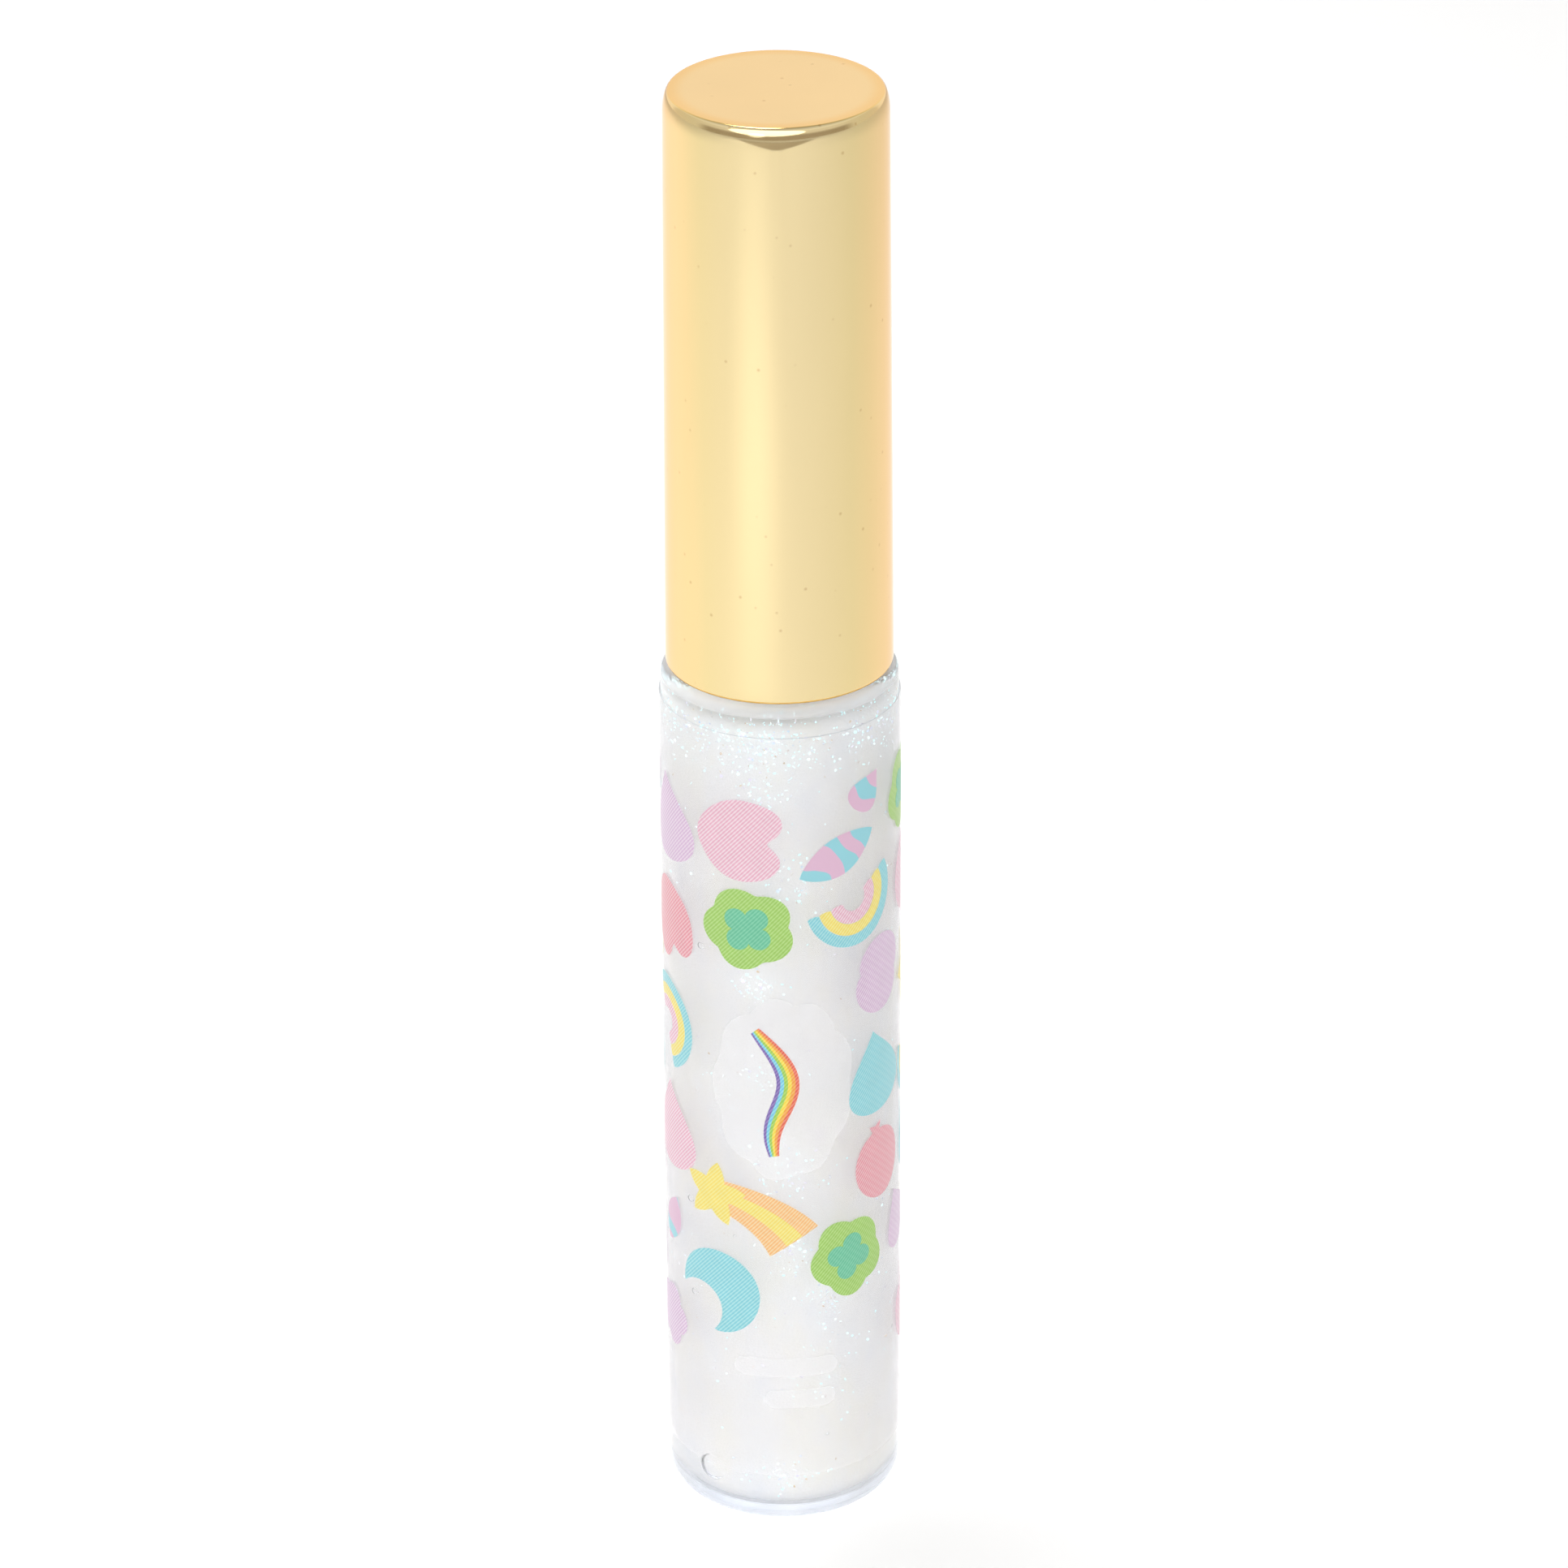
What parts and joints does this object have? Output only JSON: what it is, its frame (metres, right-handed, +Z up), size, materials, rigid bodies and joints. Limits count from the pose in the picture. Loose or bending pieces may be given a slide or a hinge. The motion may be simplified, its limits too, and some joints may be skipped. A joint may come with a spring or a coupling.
{
  "type": "lip gloss tube",
  "caption": "Slim clear round lip gloss tube with a gold screw cap carrying a flocked doe-foot wand through a wiper in the threaded neck.",
  "frame": {"origin": "centre of the base, on the surface that the tube stands on", "axes": "+Z up along the tube's axis, towards the cap; -Y is the front of the label, and its seam is at +Y"},
  "size_m": [0.0168, 0.0168, 0.1071],
  "materials": {
    "clear_plastic": "clear moulded plastic, polished",
    "gloss": "clear glitter gel",
    "soft_plastic": "natural translucent soft plastic",
    "printed_film": "clear film with pastel printing",
    "sealing_foam": "closed-cell foam sheet",
    "pale_gold": "vacuum-metallised pale gold, satin gloss",
    "white_plastic": "as moulded",
    "clear_rod": "clear moulded rod",
    "flock": "short soft fibre"
  },
  "bodies": {
    "bottle": {"bottle": "clear_plastic", "gloss_fill": "gloss", "wiper": "soft_plastic", "label_film": "printed_film"},
    "seal": {"gasket": "sealing_foam"},
    "cap": {"cap_shell": "pale_gold", "inner_cap": "white_plastic", "stem": "clear_rod", "applicator_core": "white_plastic", "flock_sleeve": "flock"}
  },
  "joints": [
    {"name": "cap_lift", "type": "slide", "parent": "bottle", "child": "seal", "axis": [0, 0, 1], "range_m": [0, 0.0721]},
    {"name": "cap_turn", "type": "hinge", "parent": "seal", "child": "cap", "pos_m": [0, 0, 0.0654], "axis": [0, 0, 1], "range_deg": [0, 4320]}
  ],
  "couplings": [
    {"joint": "cap_lift", "follows": "cap_turn", "m_per_rad": 0.00095493}
  ]
}
